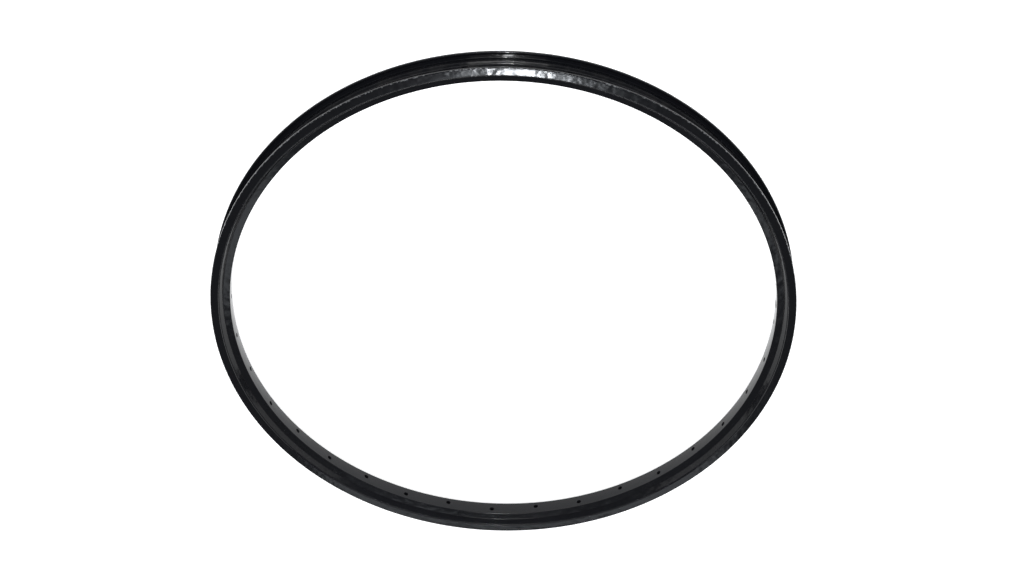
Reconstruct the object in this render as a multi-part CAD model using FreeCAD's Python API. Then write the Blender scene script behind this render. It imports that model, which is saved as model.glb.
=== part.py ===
import FreeCAD, Part
import math
import os

# A bare double-wall bicycle rim for 26 inch mountain wheels, drilled for 36 spokes.
# It is one straight aluminium extrusion rolled into a hoop. Its two ends butt together
# and are held by two steel pins pressed into ports that run inside the extrusion.
# The rim lies flat. The origin is the wheel's centre, on the mid-plane, +Z is the wheel's
# axis, and the valve hole lies on +X.

# Driving dimensions, mm
bead_seat_radius = 559.0 / 2
flange_height = 6.5            # the lips stand this far outside the bead seat
rim_half_width = 30.5 / 2
depth = 18.4                   # from the lips in to the spoke bed's edge
bed_half_width = 8.0
bed_crown = 0.5                # the spoke bed bulges this far towards the hub
bed_wall = 1.9
side_wall = 1.7
web_wall = 1.3                 # the tyre-side wall, between the channel and the hollow
hook_half_gap = 12.4           # half the width between the two bead hooks

spoke_count = 36
spoke_hole_radius = 2.25
spoke_hole_bevel = 0.35
spoke_hole_offset = 1.4        # the holes lie alternately this far above and below mid-plane
access_hole_radius = 4.0       # tyre-side holes that a nipple and its key go through
valve_hole_radius = 4.25

port_radius = 1.3
pin_clearance = 0.01
pin_half_length = 20.0
seam_gap = 0.12                # hairline between the butted ends, opposite the valve hole

# Radii that follow from them
lip_radius = bead_seat_radius + flange_height
bed_radius = lip_radius - depth
hollow_floor = bed_radius + bed_wall
well_radius = bead_seat_radius - 2.6
hollow_roof = well_radius - web_wall
seam_half_angle = math.degrees(seam_gap / 2 / lip_radius)


def section_point(radius, height):
    """A point of the cross-section, which is drawn in the XZ plane."""
    return FreeCAD.Vector(radius, 0, height)


def mirrored(upper_corners):
    """Close the upper half of a symmetric outline with its mirror image below mid-plane."""
    lower_corners = [(radius, -height, rounding)
                     for radius, height, rounding in reversed(upper_corners) if height > 0]
    return upper_corners + lower_corners


def rounded_outline(corners):
    """A closed wire through (radius, height, rounding) corners, each rounded by an arc."""
    points = [section_point(radius, height) for radius, height, _ in corners]
    rounds = []
    for index, (_, _, rounding) in enumerate(corners):
        corner = points[index]
        back = (points[index - 1] - corner).normalize()
        ahead = (points[(index + 1) % len(points)] - corner).normalize()
        half_angle = back.getAngle(ahead) / 2
        reach = rounding / math.tan(half_angle)
        middle = (back + ahead).normalize()
        arc_middle = corner + middle * (rounding / math.sin(half_angle) - rounding)
        rounds.append((corner + back * reach, arc_middle, corner + ahead * reach))
    edges = []
    for index, (start, middle, end) in enumerate(rounds):
        next_start = rounds[(index + 1) % len(rounds)][0]
        edges.append(Part.Arc(start, middle, end).toShape())
        edges.append(Part.LineSegment(end, next_start).toShape())
    return Part.Wire(edges)


# The outside of the section, from the spoke bed up the side to the lip,
# and back down the tyre channel to the well in its middle.
track_edge_radius = lip_radius - 7.6
groove_radius = track_edge_radius - 0.5
shoulder_top_radius = groove_radius - 0.6
shoulder_foot_radius = lip_radius - 11.8
shoulder_foot_height = 9.2
groove_height = rim_half_width - 1.05
well_half_width = 6.4

outside_corners = mirrored([
    (bed_radius - bed_crown, 0, 110.0),
    (bed_radius, bed_half_width, 0.9),
    (shoulder_foot_radius, shoulder_foot_height, 0.8),
    (shoulder_top_radius, groove_height - 0.05, 0.4),
    (groove_radius, groove_height, 0.2),
    (track_edge_radius, rim_half_width, 0.3),
    (lip_radius, rim_half_width, 0.8),
    (lip_radius, hook_half_gap + 0.3, 0.7),
    (lip_radius - 1.5, hook_half_gap, 0.6),
    (lip_radius - 3.1, rim_half_width - side_wall, 0.6),
    (bead_seat_radius, rim_half_width - side_wall - 0.05, 0.8),
    (bead_seat_radius, well_half_width + 1.2, 0.6),
    (well_radius, well_half_width, 1.0),
])

# The hollow: a main chamber, and on each side a round port for a joint pin,
# open to the chamber through a narrow neck.
chamber_corners = mirrored([
    (hollow_floor, bed_half_width - 1.2, 0.8),
    (hollow_roof, well_half_width + 1.3, 0.5),
])
port_center_radius = bead_seat_radius - 2.3
port_center_height = 9.8
neck_half_width = 0.6


def port_neck(side):
    """The slot between the chamber's corner and the port on one side of mid-plane."""
    start = section_point(hollow_roof - 0.3, side * (well_half_width + 1.0))
    end = section_point(port_center_radius, side * port_center_height)
    along = (end - start).normalize()
    across = FreeCAD.Vector(-along.z, 0, along.x) * neck_half_width
    corners = [start + across, end + across, end - across, start - across]
    return Part.Face(Part.makePolygon(corners + corners[:1]))


def port_circle(side, radius):
    center = section_point(port_center_radius, side * port_center_height)
    circle = Part.Circle(center, FreeCAD.Vector(0, 1, 0), radius)
    return Part.Face(Part.Wire(circle.toShape()))


def rolled(section, start_angle, sweep_angle):
    """Roll a flat section about the wheel's axis, from start_angle, in degrees."""
    origin = FreeCAD.Vector(0, 0, 0)
    axis = FreeCAD.Vector(0, 0, 1)
    turned = section.copy()
    turned.rotate(origin, axis, start_angle)
    return turned.revolve(origin, axis, sweep_angle)


def radial_drill(angle, height, inner, outer, radius, outer_radius=None):
    """A drill, or a cone where outer_radius is given, between two distances from the axis."""
    direction = FreeCAD.Vector(math.cos(math.radians(angle)), math.sin(math.radians(angle)), 0)
    start = direction * inner + FreeCAD.Vector(0, 0, height)
    if outer_radius is None:
        return Part.makeCylinder(radius, outer - inner, start, direction)
    return Part.makeCone(radius, outer_radius, outer - inner, start, direction)


def bevelled_bed_hole(angle, height, radius):
    """A hole through the spoke bed, with its edge broken on the hub side."""
    bed_surface = bed_radius - bed_crown
    hole = radial_drill(angle, height, bed_surface - 2, hollow_floor + 1, radius)
    tip_radius = radius - 1
    base_radius = radius + spoke_hole_bevel + 1
    bevel = radial_drill(angle, height, bed_surface - 1,
                         bed_surface - 1 + base_radius - tip_radius, base_radius, tip_radius)
    return hole.fuse(bevel)


def make_hoop():
    section = Part.Face(rounded_outline(outside_corners))
    section = section.cut(Part.Face(rounded_outline(chamber_corners)))
    for side in (1, -1):
        section = section.cut(port_neck(side))
        section = section.cut(port_circle(side, port_radius))
    hoop = rolled(section, 180 + seam_half_angle, 360 - 2 * seam_half_angle)

    drills = [bevelled_bed_hole(0, 0, valve_hole_radius),
              radial_drill(0, 0, hollow_roof - 1, well_radius + 1, valve_hole_radius)]
    for index in range(spoke_count):
        angle = (index + 0.5) * 360 / spoke_count
        height = spoke_hole_offset if index % 2 == 0 else -spoke_hole_offset
        drills.append(bevelled_bed_hole(angle, height, spoke_hole_radius))
        drills.append(radial_drill(angle, height, hollow_roof - 1, well_radius + 1,
                                   access_hole_radius))
    return hoop.Solids[0].cut(drills)


def make_pin(side):
    """A joint pin, bent to the hoop's curve, half of it on each side of the seam."""
    half_angle = math.degrees(pin_half_length / port_center_radius)
    return rolled(port_circle(side, port_radius - pin_clearance), 180 - half_angle, 2 * half_angle)


nodes = {
    "rim_hoop": make_hoop(),
    "joint_pin_upper": make_pin(1),
    "joint_pin_lower": make_pin(-1),
}

os.makedirs("parts", exist_ok=True)
for name, shape in nodes.items():
    solid = shape.Solids[0]
    print(name, len(shape.Solids), "solid, valid", solid.isValid(), "volume", round(solid.Volume))
    solid.exportStep("parts/" + name + ".step")
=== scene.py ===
import math

import bpy
from mathutils import Euler, Matrix, Vector


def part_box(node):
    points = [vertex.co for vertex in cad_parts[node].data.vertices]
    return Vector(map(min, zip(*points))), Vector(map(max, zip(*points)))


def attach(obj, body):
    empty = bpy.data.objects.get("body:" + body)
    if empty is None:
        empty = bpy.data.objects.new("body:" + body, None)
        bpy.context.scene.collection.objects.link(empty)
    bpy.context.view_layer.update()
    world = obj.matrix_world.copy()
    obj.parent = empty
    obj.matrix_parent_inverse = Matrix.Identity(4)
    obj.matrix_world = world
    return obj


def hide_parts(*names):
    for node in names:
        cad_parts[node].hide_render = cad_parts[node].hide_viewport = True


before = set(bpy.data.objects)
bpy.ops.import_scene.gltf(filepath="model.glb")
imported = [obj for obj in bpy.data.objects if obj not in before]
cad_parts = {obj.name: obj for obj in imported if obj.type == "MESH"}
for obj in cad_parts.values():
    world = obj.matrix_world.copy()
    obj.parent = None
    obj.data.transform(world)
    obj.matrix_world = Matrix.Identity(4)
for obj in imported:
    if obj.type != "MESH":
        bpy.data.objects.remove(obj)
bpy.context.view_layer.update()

# The rim hoop: one hollow aluminium extrusion, rolled into a circle and butted to itself
# with a hairline seam, then drilled through both walls for 36 spokes and one valve, and
# black anodised. Its section is (distance from the wheel's axis, height), in metres.
hoop_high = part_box("rim_hoop")[1]
lip_radius = hoop_high.x
rim_half_width = hoop_high.z
flange_height, depth = 0.0065, 0.0184
bed_wall, side_wall, web_wall = 0.0019, 0.0017, 0.0013
bead_seat_radius = lip_radius - flange_height
bed_radius = lip_radius - depth
bed_half_width = 0.008
bed_crown = 0.0005
bed_top_radius = bed_radius - bed_crown
side_wall_height = rim_half_width - side_wall
hook_height = 0.0124
track_edge_radius = lip_radius - 0.0076
groove_radius = track_edge_radius - 0.0005
groove_height = rim_half_width - 0.00105
shoulder_top_radius = groove_radius - 0.0006
shoulder_foot_radius = lip_radius - 0.0118
shoulder_foot_height = 0.0092
well_radius = bead_seat_radius - 0.0026
well_half_width = 0.0064
hollow_floor = bed_radius + bed_wall
hollow_roof = well_radius - web_wall
seam_gap = 0.00012
spoke_count = 36
spoke_hole_radius = 0.00225
spoke_hole_offset = 0.0014
access_hole_radius = 0.004
valve_hole_radius = 0.00425

outside_corners = [
    (bed_top_radius, 0, 0.110),
    (bed_radius, bed_half_width, 0.0009),
    (shoulder_foot_radius, shoulder_foot_height, 0.0008),
    (shoulder_top_radius, groove_height - 0.00005, 0.0004),
    (groove_radius, groove_height, 0.0002),
    (track_edge_radius, rim_half_width, 0.0003),
    (lip_radius, rim_half_width, 0.0008),
    (lip_radius, hook_height + 0.0003, 0.0007),
    (lip_radius - 0.0015, hook_height, 0.0006),
    (lip_radius - 0.0031, side_wall_height, 0.0006),
    (bead_seat_radius, side_wall_height - 0.00005, 0.0008),
    (bead_seat_radius, well_half_width + 0.0012, 0.0006),
    (well_radius, well_half_width, 0.001),
]

# The hollow is one chamber with a round port off each of its two outer corners. A joint pin
# sits in each port, and a narrow neck opens the port to the chamber.
port_center = Vector((bead_seat_radius - 0.0023, 0.0098))
port_radius = 0.0013
neck_start = Vector((hollow_roof - 0.0003, well_half_width + 0.001))
neck_half_width = 0.0006
neck_length = 0.00333
along_neck = (port_center - neck_start).normalized()
across_neck = Vector((-along_neck.y, along_neck.x))


def port_corner(along, across, rounding):
    place = port_center + along_neck * along + across_neck * across
    return (place.x, place.y, rounding)


chamber_corners = [
    (hollow_floor, bed_half_width - 0.0012, 0.0008),
    port_corner(-neck_length, neck_half_width, 0.0002),
    port_corner(-port_radius, neck_half_width, 0.0002),
    port_corner(-port_radius, port_radius, 0.0005),
    port_corner(port_radius, port_radius, 0.00129),
    port_corner(port_radius, -port_radius, 0.00129),
    port_corner(-port_radius, -port_radius, 0.0005),
    port_corner(-port_radius, -neck_half_width, 0.0002),
    port_corner(-neck_length, -neck_half_width, 0.0002),
]


def mirrored(upper):
    """Close the upper half of a symmetric outline with its mirror image below mid-plane."""
    return upper + [(r, -z, rounding) for r, z, rounding in reversed(upper) if z > 0]


def section_mesh(outside, hollow):
    """The section's two closed lines, with each corner's rounding and the line it is on."""
    mesh = bpy.data.meshes.new("hoop_section")
    corners = outside + hollow
    loops = [range(len(outside)), range(len(outside), len(corners))]
    edges = [(loop[i - 1], loop[i]) for loop in loops for i in range(len(loop))]
    mesh.from_pydata([(r - lip_radius, z, 0) for r, z, _ in corners], edges, [])
    rounding = mesh.attributes.new("rounding", "FLOAT", "POINT")
    rounding.data.foreach_set("value", [c[2] for c in corners])
    inside = mesh.attributes.new("inside", "BOOLEAN", "POINT")
    inside.data.foreach_set("value", [i >= len(outside) for i in range(len(corners))])
    return mesh


def drill(name, hole_radius, back_radius):
    """A drill along +X: a shallow flare, a rounded mouth, the bed, then the tyre-side wall."""
    flare_depth = 0.00022
    mouth = bed_top_radius + flare_depth
    mouth_rounding = 0.0003
    turns = [math.radians(a) for a in (25, 45, 65, 90)]
    line = [(mouth + mouth_rounding * (1 - math.cos(t)),
             hole_radius + mouth_rounding * (1 - math.sin(t))) for t in turns]
    flare = 0.001
    first_x, first_radius = line[0]
    line.insert(0, (first_x - flare * math.sin(turns[0]),
                    first_radius + flare * math.cos(turns[0])))
    clearance = 0.001
    line += [(hollow_floor + clearance, hole_radius), (hollow_roof - clearance, back_radius),
             (well_radius + 2 * clearance, back_radius)]
    sides = 40
    points = [(x, r * math.cos(math.tau * i / sides), r * math.sin(math.tau * i / sides))
              for x, r in line for i in range(sides)]
    faces = [tuple(reversed(range(sides))), tuple(range(len(points) - sides, len(points)))]
    for ring in range(len(line) - 1):
        for i in range(sides):
            a = ring * sides + i
            b = ring * sides + (i + 1) % sides
            faces.append((a, b, b + sides, a + sides))
    mesh = bpy.data.meshes.new(name)
    mesh.from_pydata(points, [], faces)
    return bpy.data.objects.new(name, mesh)


class Tree:
    """A Geometry Nodes tree with named inputs, built one node a call."""

    def __init__(self, name, **inputs):
        self.tree = bpy.data.node_groups.new(name, "GeometryNodeTree")
        face = self.tree.interface
        face.new_socket("Geometry", in_out="INPUT", socket_type="NodeSocketGeometry")
        self.values = {}
        kinds = {float: "Float", int: "Int", bpy.types.Object: "Object",
                 bpy.types.Material: "Material"}
        for key, value in inputs.items():
            socket = face.new_socket(key.replace("_", " "), in_out="INPUT",
                                     socket_type="NodeSocket" + kinds[type(value)])
            self.values[socket.identifier] = value
        face.new_socket("Geometry", in_out="OUTPUT", socket_type="NodeSocketGeometry")
        self.inputs = self.tree.nodes.new("NodeGroupInput").outputs

    def node(self, kind, out=0, settings=(), **values):
        """Add a node, set it up, and return one of its outputs. i0 is its first socket."""
        node = self.tree.nodes.new(kind)
        for key, value in dict(settings).items():
            setattr(node, key, value)
        for key, value in values.items():
            slot = int(key[1:]) if key[0] == "i" and key[1:].isdigit() else key.replace("_", " ")
            for one in value if isinstance(value, list) else [value]:
                if isinstance(one, bpy.types.NodeSocket):
                    self.tree.links.new(one, node.inputs[slot])
                else:
                    node.inputs[slot].default_value = one
        return node.outputs[out]

    def math(self, operation, *values):
        return self.node("ShaderNodeMath", settings={"operation": operation},
                         **{f"i{i}": value for i, value in enumerate(values)})

    def finish(self, geometry, material):
        real = self.node("GeometryNodeRealizeInstances", Geometry=geometry)
        done = self.node("GeometryNodeSetMaterial", Geometry=real, Material=material)
        output = self.tree.nodes.new("NodeGroupOutput")
        self.tree.links.new(done, output.inputs[0])

    def mesh(self, start, name):
        """Run the tree on a start mesh and return the result as a plain object."""
        source = bpy.data.objects.new(name + "_source", start)
        bpy.context.scene.collection.objects.link(source)
        modifier = source.modifiers.new("build", "NODES")
        modifier.node_group = self.tree
        for identifier, value in self.values.items():
            modifier[identifier] = value
        even = source.modifiers.new("even_shading", "WEIGHTED_NORMAL")
        even.keep_sharp = True
        bpy.context.view_layer.update()
        graph = bpy.context.evaluated_depsgraph_get()
        made = bpy.data.meshes.new_from_object(source.evaluated_get(graph), depsgraph=graph)
        bpy.data.objects.remove(source)
        made.materials.pop(index=0)
        piece = bpy.data.objects.new(name, made)
        bpy.context.scene.collection.objects.link(piece)
        return piece


class Signal:
    """A shader socket for use in expressions: arithmetic on it adds Math nodes to its tree."""

    def __init__(self, socket):
        self.socket = socket

    def node(self, kind, settings=(), out=0, **values):
        """Add any node to the same tree, set it up, link its sockets, and return one output."""
        tree = self.socket.id_data
        node = tree.nodes.new(kind)
        for key, value in dict(settings).items():
            setattr(node, key, value)
        for key, value in values.items():
            slot = int(key[1:]) if key[0] == "i" and key[1:].isdigit() else key.replace("_", " ")
            if isinstance(value, Signal):
                tree.links.new(value.socket, node.inputs[slot])
            else:
                node.inputs[slot].default_value = value
        return Signal(node.outputs[out])

    def math(self, operation, *values):
        sockets = {f"i{i}": value for i, value in enumerate(values)}
        return self.node("ShaderNodeMath", {"operation": operation}, **sockets)

    def __add__(self, other):
        return self.math("ADD", self, other)

    def __sub__(self, other):
        return self.math("SUBTRACT", self, other)

    def __rsub__(self, other):
        return self.math("SUBTRACT", other, self)

    def __mul__(self, other):
        return self.math("MULTIPLY", self, other)

    __radd__ = __add__
    __rmul__ = __mul__

    def ramp(self, low, high, to_low=0.0, to_high=1.0):
        """A smooth step from to_low to to_high as the value goes from low to high."""
        return self.node("ShaderNodeMapRange", {"interpolation_type": "SMOOTHSTEP"}, Value=self,
                         From_Min=low, From_Max=high, To_Min=to_low, To_Max=to_high)

    def pick(self, zero_color, one_color):
        """Mix two colours, with this value as the share of the second."""
        return self.node("ShaderNodeMix", {"data_type": "RGBA"}, 2, i0=self, i6=zero_color,
                         i7=one_color)

    def grain(self, scale, detail=2.0, roughness=0.5):
        """Noise of that scale at this position, around 0.5."""
        return self.node("ShaderNodeTexNoise", Vector=self, Scale=scale, Detail=detail,
                         Roughness=roughness)


def new_finish(name):
    """A material, its surface's sockets, and Object coordinates to paint by."""
    material = bpy.data.materials.new(name)
    material.use_nodes = True
    nodes = material.node_tree.nodes
    place = Signal(nodes.new("ShaderNodeTexCoord").outputs["Object"])
    return material, nodes["Principled BSDF"].inputs, place


def feed(sockets, **signals):
    for key, signal in signals.items():
        socket = sockets[key.replace("_", " ")]
        socket.id_data.links.new(signal.socket, socket)


# The black anodising is a thin glossy dyed skin. Draw lines from the extruder's die run along
# it, rolling left faint waves, and the lips' edges are rubbed by tyre levers.
black_anodised, skin, place = new_finish("gloss_black_anodising")
x, y, z = (place.node("ShaderNodeSeparateXYZ", out=i, Vector=place) for i in range(3))
from_axis = place.math("SQRT", x * x + y * y)
along = place.math("ARCTAN2", y, x) * lip_radius
draw_lines = place.node("ShaderNodeCombineXYZ", X=from_axis, Y=z, Z=along * 0.004).grain(5200, 3)
broad_lines = place.node("ShaderNodeCombineXYZ", X=from_axis, Y=z, Z=along * 0.01).grain(900, 2)
waves = place.grain(130, 1)
orange_peel = place.grain(1500, 2)
smudges = place.grain(28, 4, 0.6)
scratch_field = place.node("ShaderNodeCombineXYZ", X=from_axis, Y=z, Z=along * 0.05).grain(1900, 5, 0.7)
scratches = scratch_field.ramp(0.66, 0.72)
height_above_middle = place.math("ABSOLUTE", z)
to_lip_edge = (lip_radius - from_axis) + (rim_half_width - height_above_middle)
rub = to_lip_edge.ramp(0.0009, 0.0003) * place.grain(420, 5, 0.7).ramp(0.52, 0.60)
outside_the_web = from_axis.ramp(hollow_roof, well_radius)
between_the_hooks = height_above_middle.ramp(hook_height, well_half_width)
in_channel = outside_the_web * between_the_hooks
dust = place.grain(60, 5, 0.65).ramp(0.35, 0.8) * in_channel
color = smudges.pick((0.0045, 0.0048, 0.0062, 1), (0.0075, 0.0079, 0.0098, 1))
color = (scratches * 0.35).pick(color, (0.060, 0.061, 0.066, 1))
color = (dust * 0.12).pick(color, (0.12, 0.115, 0.105, 1))
color = rub.pick(color, (0.42, 0.43, 0.45, 1))
bump_height = (draw_lines * 0.05 + broad_lines * 0.12 + orange_peel * 0.05 + scratches * -0.08
               + waves * 3.2)
feed(skin, Base_Color=color,
     Roughness=0.045 + draw_lines * 0.05 + smudges * 0.05 + scratches * 0.12 + dust * 0.10,
     Metallic=rub,
     Normal=bump_height.node("ShaderNodeBump", Height=bump_height, Strength=1.0, Distance=0.00003))
skin["IOR"].default_value = 1.3

rolling = Tree("rolled_and_drilled_hoop",
               lip_radius=lip_radius, seam_gap=seam_gap, steps_around=288, steps_per_corner=5,
               spoke_count=spoke_count, hole_offset=spoke_hole_offset,
               spoke_drill=drill("spoke_drill", spoke_hole_radius, access_hole_radius),
               valve_drill=drill("valve_drill", valve_hole_radius, valve_hole_radius),
               finish=black_anodised)
start = rolling.inputs["Geometry"]
inside = rolling.node("GeometryNodeInputNamedAttribute", settings={"data_type": "BOOLEAN"},
                      Name="inside")
rounding = rolling.node("GeometryNodeInputNamedAttribute", settings={"data_type": "FLOAT"},
                        Name="rounding")
outside = rolling.node("FunctionNodeBooleanMath", settings={"operation": "NOT"}, i0=inside)
profiles = []
for chosen in (outside, inside):
    line = rolling.node("GeometryNodeMeshToCurve", Mesh=start, Selection=chosen)
    profiles.append(rolling.node("GeometryNodeFilletCurve", settings={"mode": "POLY"}, Curve=line,
                                 Count=rolling.inputs["steps per corner"], Radius=rounding,
                                 Limit_Radius=True))
gap_angle = rolling.math("DIVIDE", rolling.inputs["seam gap"], rolling.inputs["lip radius"])
first_angle = rolling.math("MULTIPLY_ADD", gap_angle, 0.5, math.pi)
whole_turn = rolling.math("SUBTRACT", math.tau, gap_angle)
open_ring = rolling.node("GeometryNodeCurveArc", Resolution=rolling.inputs["steps around"],
                         Radius=rolling.inputs["lip radius"], Start_Angle=first_angle,
                         Sweep_Angle=whole_turn)
closed_ring = rolling.node("GeometryNodeCurvePrimitiveCircle",
                           Resolution=rolling.inputs["steps around"],
                           Radius=rolling.inputs["lip radius"])
solid_bar = rolling.node("GeometryNodeCurveToMesh", Curve=open_ring, Profile_Curve=profiles[0],
                         Fill_Caps=True)
hollow = rolling.node("GeometryNodeCurveToMesh", Curve=closed_ring, Profile_Curve=profiles[1])
index = rolling.node("GeometryNodeInputIndex")
side = rolling.math("MULTIPLY_ADD", rolling.math("MODULO", index, 2.0), -2.0, 1.0)
height = rolling.math("MULTIPLY", side, rolling.inputs["hole offset"])
spacing = rolling.math("DIVIDE", math.tau, rolling.inputs["spoke count"])
angle = rolling.math("MULTIPLY", rolling.math("ADD", index, 0.5), spacing)
places = rolling.node("GeometryNodePoints", Count=rolling.inputs["spoke count"],
                      Position=rolling.node("ShaderNodeCombineXYZ", Z=height))
spoke_drill = rolling.node("GeometryNodeObjectInfo", 4, Object=rolling.inputs["spoke drill"])
valve_drill = rolling.node("GeometryNodeObjectInfo", 4, Object=rolling.inputs["valve drill"])
turned = rolling.node("FunctionNodeEulerToRotation",
                      Euler=rolling.node("ShaderNodeCombineXYZ", Z=angle))
drills = rolling.node("GeometryNodeInstanceOnPoints", Points=places, Instance=spoke_drill,
                      Rotation=turned)
drills = rolling.node("GeometryNodeRealizeInstances", Geometry=drills)
all_drills = rolling.node("GeometryNodeJoinGeometry", Geometry=[drills, valve_drill])
how = {"operation": "DIFFERENCE", "solver": "MANIFOLD"}
tube = rolling.node("GeometryNodeMeshBoolean", settings=how, Mesh_1=solid_bar, Mesh_2=[hollow])
drilled = rolling.node("GeometryNodeMeshBoolean", settings=how, Mesh_1=tube, Mesh_2=[all_drills])
edge_angle = rolling.node("GeometryNodeInputMeshEdgeAngle")
sharp_from = math.radians(32)
sharp = rolling.math("GREATER_THAN", edge_angle, sharp_from)
shaded = rolling.node("GeometryNodeSetShadeSmooth", settings={"domain": "FACE"}, Geometry=drilled,
                      Shade_Smooth=True)
shaded = rolling.node("GeometryNodeSetShadeSmooth", settings={"domain": "EDGE"}, Geometry=shaded,
                      Selection=sharp, Shade_Smooth=False)
rolling.finish(shaded, rolling.inputs["finish"])
section = section_mesh(mirrored(outside_corners), mirrored(chamber_corners))
hoop = rolling.mesh(section, "black_rim_hoop")

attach(hoop, "root")
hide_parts("rim_hoop")

# The two joint pins: short zinc plated steel rods, bent to the hoop's curve and pressed into
# the ports on each side of the seam, where they hold the hoop's ends together. Only the
# hairline of the seam and the bare ends of the ports show them.
zinc_steel, plating, place = new_finish("zinc_plated_steel")
x, y, z = (place.node("ShaderNodeSeparateXYZ", out=i, Vector=place) for i in range(3))
from_axis = place.math("SQRT", x * x + y * y)
along = place.math("ARCTAN2", y, x) * lip_radius
drawn = place.node("ShaderNodeCombineXYZ", X=from_axis, Y=z, Z=along * 0.02).grain(6000, 3)
spangle = place.grain(700, 4, 0.6)
stain = place.grain(160, 3)
color = spangle.pick((0.50, 0.51, 0.53, 1), (0.63, 0.63, 0.62, 1))
color = (stain.ramp(0.55, 0.75) * 0.4).pick(color, (0.36, 0.35, 0.33, 1))
bump_height = drawn * 0.6 + spangle * 0.4
feed(plating, Base_Color=color, Roughness=0.26 + spangle * 0.16 + drawn * 0.08,
     Normal=bump_height.node("ShaderNodeBump", Height=bump_height, Strength=0.6, Distance=0.00001))
plating["Metallic"].default_value = 1.0
for pin in ("joint_pin_upper", "joint_pin_lower"):
    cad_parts[pin].data.materials.clear()
    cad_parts[pin].data.materials.append(zinc_steel)

# The floor: a wide white dish. It is flat under the rim and turns up far behind it, so that
# a low view sees white too. It is no part of the object.
floor_steps = 64
first_reach, flat_reach, rise_radius = 0.8, 4.0, 1.5
dish_line = [(first_reach, 0.0), (flat_reach, 0.0)]
dish_line += [(flat_reach + rise_radius * math.sin(t), rise_radius * (1 - math.cos(t)))
              for t in [math.radians(a) for a in range(10, 90, 10)]]
points = [(0, 0, -rim_half_width)]
points += [(r * math.cos(math.tau * i / floor_steps), r * math.sin(math.tau * i / floor_steps),
            h - rim_half_width) for r, h in dish_line for i in range(floor_steps)]
faces = [(0, 1 + i, 1 + (i + 1) % floor_steps) for i in range(floor_steps)]
for ring in range(len(dish_line) - 1):
    for i in range(floor_steps):
        a = 1 + ring * floor_steps + i
        b = 1 + ring * floor_steps + (i + 1) % floor_steps
        faces.append((a, a + floor_steps, b + floor_steps, b))
dish = bpy.data.meshes.new("white_floor")
dish.from_pydata(points, [], faces)
dish.polygons.foreach_set("use_smooth", [True] * len(dish.polygons))
floor = bpy.data.objects.new("white_floor", dish)
bpy.context.scene.collection.objects.link(floor)
white_floor, paint, place = new_finish("white_floor")
feed(paint, Base_Color=place.grain(3, 2).pick((0.86, 0.86, 0.86, 1), (0.88, 0.88, 0.88, 1)))
paint["Roughness"].default_value = 0.9
paint["Specular IOR Level"].default_value = 0.0
paint["Emission Color"].default_value = (1, 1, 1, 1)
paint["Emission Strength"].default_value = 0.72
dish.materials.append(white_floor)


# The light: a dim room, a soft overhead panel and a small flash beside the camera that light
# the floor, and beyond the rim a small lamp before two soft cards. The flash draws thin
# glints on the rounded edges, and the lamp and cards lie in the flat flanks.
def panel(name, azimuth, elevation, distance, width, height, radiance, color):
    """A rectangular soft light that faces the wheel's centre from that direction, in degrees."""
    light = bpy.data.lights.new(name, "AREA")
    light.shape = "RECTANGLE"
    light.size, light.size_y = width, height
    light.energy = radiance * math.pi * width * height
    light.color = color
    way = Euler((0, -math.radians(elevation), math.radians(azimuth))).to_matrix() @ Vector((1, 0, 0))
    lamp = bpy.data.objects.new(name, light)
    lamp.location = way * distance
    lamp.rotation_euler = way.to_track_quat("Z", "Y").to_euler()
    bpy.context.scene.collection.objects.link(lamp)


panel("overhead_panel", azimuth=88, elevation=68, distance=6.0, width=1.6, height=2.2,
      radiance=7.0, color=(1.0, 0.99, 0.98))
panel("flash", azimuth=87.0, elevation=54.5, distance=2.3, width=0.045, height=0.045,
      radiance=4000.0, color=(0.95, 0.97, 1.0))
panel("far_lamp", azimuth=-92.8, elevation=60.5, distance=8.0, width=0.11, height=0.22,
      radiance=290.0, color=(0.93, 0.96, 1.0))
panel("near_side_card", azimuth=-92.8, elevation=60.5, distance=8.1, width=0.62, height=0.9,
      radiance=5.5, color=(0.86, 0.93, 1.0))
panel("far_side_card", azimuth=-92.5, elevation=48, distance=8.2, width=2.0, height=1.1,
      radiance=2.2, color=(0.90, 0.95, 1.0))
world = bpy.data.worlds.new("dim_room")
world.use_nodes = True
world.node_tree.nodes["Background"].inputs["Color"].default_value = (0.95, 0.98, 1.0, 1)
world.node_tree.nodes["Background"].inputs["Strength"].default_value = 0.2
bpy.context.scene.world = world
bpy.context.scene.view_settings.view_transform = "Standard"

# The camera looks down on the rim from one side, with its head turned over.
camera_azimuth, camera_elevation, camera_roll = (math.radians(a) for a in (86.68, 52.72, 181.35))
camera_distance, aim_right, aim_up = 2.0213, 0.008552, 0.021484
back = Vector((math.cos(camera_elevation) * math.cos(camera_azimuth),
               math.cos(camera_elevation) * math.sin(camera_azimuth), math.sin(camera_elevation)))
level_right = Vector((0, 0, 1)).cross(back).normalized()
level_up = back.cross(level_right)
right = level_right * math.cos(camera_roll) + level_up * math.sin(camera_roll)
up = level_up * math.cos(camera_roll) - level_right * math.sin(camera_roll)
camera = bpy.data.objects.new("camera", bpy.data.cameras.new("camera"))
camera.data.sensor_width = 36.0
camera.data.lens = 72.19
camera.matrix_world = Matrix((right, up, back)).transposed().to_4x4()
camera.location = back * camera_distance + right * aim_right + up * aim_up
bpy.context.scene.collection.objects.link(camera)
bpy.context.scene.camera = camera
